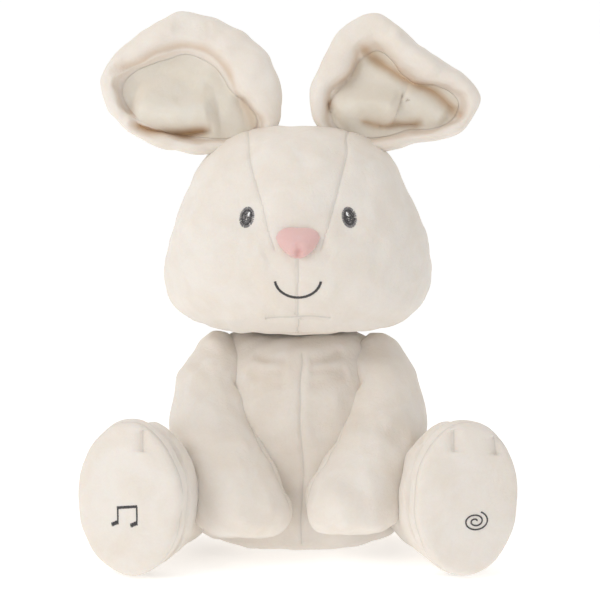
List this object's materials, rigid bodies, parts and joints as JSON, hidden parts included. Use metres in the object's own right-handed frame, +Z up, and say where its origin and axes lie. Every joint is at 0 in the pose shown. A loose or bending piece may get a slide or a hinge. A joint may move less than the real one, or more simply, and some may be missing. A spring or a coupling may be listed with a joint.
{
  "type": "plush rabbit",
  "caption": "Seated interactive plush rabbit with motor-driven floppy ears, stuffed arms and legs, press-button feet and a sound module behind a back flap.",
  "frame": {"origin": "middle of the footprint's box, on the floor", "axes": "+Z up; the rabbit faces -Y; +X is the rabbit's own left"},
  "size_m": [0.2328, 0.18, 0.3045],
  "materials": {
    "plush": "short velour pile",
    "lining": "short velour pile, shaded",
    "nose": "short pink pile",
    "thread": "embroidery thread, soft sheen",
    "shell_plastic": "moulded, fine grain",
    "gear_plastic": "natural acetal",
    "button_plastic": "satin",
    "steel": "plain",
    "board": "solder mask",
    "cone_paper": "pressed paper",
    "cell_jacket": "gloss jacket",
    "cable": "matt",
    "tape": "hook and loop"
  },
  "bodies": {
    "root": {"head_plush": "plush", "torso_plush": "plush", "gearbox_left_half": "shell_plastic", "gearbox_right_half": "shell_plastic", "gearbox_screw_1": "steel", "gearbox_screw_2": "steel", "gearbox_screw_3": "steel", "ear_axle": "steel", "ear_motor": "steel", "neck_tube": "shell_plastic", "motor_cable": "cable", "nose": "nose", "left_eye": "thread", "right_eye": "thread", "mouth": "thread", "tail": "plush", "hook_strip": "tape", "module_front_shell": "shell_plastic", "module_rear_shell": "shell_plastic", "circuit_board": "board", "speaker": "cone_paper", "cell_1": "cell_jacket", "cell_2": "cell_jacket", "cell_3": "cell_jacket", "left_contact_plate": "steel", "right_contact_plate": "steel", "battery_door": "shell_plastic", "battery_door_screw": "steel", "left_leg": "plush", "right_leg": "plush", "left_button_base": "button_plastic", "right_button_base": "button_plastic", "left_button_spring": "steel", "right_button_spring": "steel", "left_foot_cable": "cable", "right_foot_cable": "cable"},
    "left_ear": {"left_ear": "plush", "left_ear_lining": "lining", "left_ear_lever": "gear_plastic"},
    "right_ear": {"right_ear": "plush", "right_ear_lining": "lining", "right_ear_lever": "gear_plastic"},
    "layshaft": {"lay_shaft": "steel", "lay_gear": "gear_plastic", "left_lay_pinion": "gear_plastic", "right_lay_pinion": "gear_plastic"},
    "motor_pinion": {"motor_pinion": "gear_plastic"},
    "left_arm": {"left_arm": "plush"},
    "right_arm": {"right_arm": "plush"},
    "left_foot_button": {"left_sole": "plush", "left_button_cap": "button_plastic"},
    "right_foot_button": {"right_sole": "plush", "right_button_cap": "button_plastic"},
    "back_flap": {"back_flap": "plush", "loop_strip": "tape"},
    "switch_knob": {"switch_knob": "button_plastic"}
  },
  "joints": [
    {"name": "left_ear_swing", "type": "hinge", "parent": "root", "child": "left_ear", "pos_m": [0.031, 0.01, 0.2345], "axis": [1, 0, 0], "range_deg": [0, 60]},
    {"name": "right_ear_swing", "type": "hinge", "parent": "root", "child": "right_ear", "pos_m": [-0.031, 0.01, 0.2345], "axis": [1, 0, 0], "range_deg": [0, 60]},
    {"name": "layshaft_spin", "type": "hinge", "parent": "root", "child": "layshaft", "pos_m": [0, 0.01, 0.2153], "axis": [1, 0, 0], "range_deg": [-180, 0]},
    {"name": "motor_spin", "type": "hinge", "parent": "root", "child": "motor_pinion", "pos_m": [0, 0.01, 0.1985], "axis": [1, 0, 0], "range_deg": [0, 450]},
    {"name": "left_arm_raise", "type": "hinge", "parent": "root", "child": "left_arm", "pos_m": [0.047, 0.008, 0.094], "axis": [-1, 0, 0], "range_deg": [0, 50]},
    {"name": "right_arm_raise", "type": "hinge", "parent": "root", "child": "right_arm", "pos_m": [-0.047, 0.008, 0.094], "axis": [-1, 0, 0], "range_deg": [0, 50]},
    {"name": "left_foot_press", "type": "slide", "parent": "root", "child": "left_foot_button", "axis": [-0.2419, 0.9703, 0], "range_m": [0, 0.0025], "stiffness_N_per_m": 400, "springref_m": -0.0015, "deforming": ["left_button_spring"]},
    {"name": "right_foot_press", "type": "slide", "parent": "root", "child": "right_foot_button", "axis": [0.2419, 0.9703, 0], "range_m": [0, 0.0025], "stiffness_N_per_m": 400, "springref_m": -0.0015, "deforming": ["right_button_spring"]},
    {"name": "back_flap_open", "type": "hinge", "parent": "root", "child": "back_flap", "pos_m": [0, 0.0648, 0.0849], "axis": [1, 0, 0], "range_deg": [0, 100]},
    {"name": "switch_slide", "type": "slide", "parent": "root", "child": "switch_knob", "axis": [0, 0, 1], "range_m": [0, 0.0045]}
  ],
  "couplings": [
    {"joint": "right_ear_swing", "follows": "left_ear_swing", "ratio": 1},
    {"joint": "layshaft_spin", "follows": "left_ear_swing", "ratio": -3},
    {"joint": "motor_spin", "follows": "left_ear_swing", "ratio": 7.5}
  ]
}
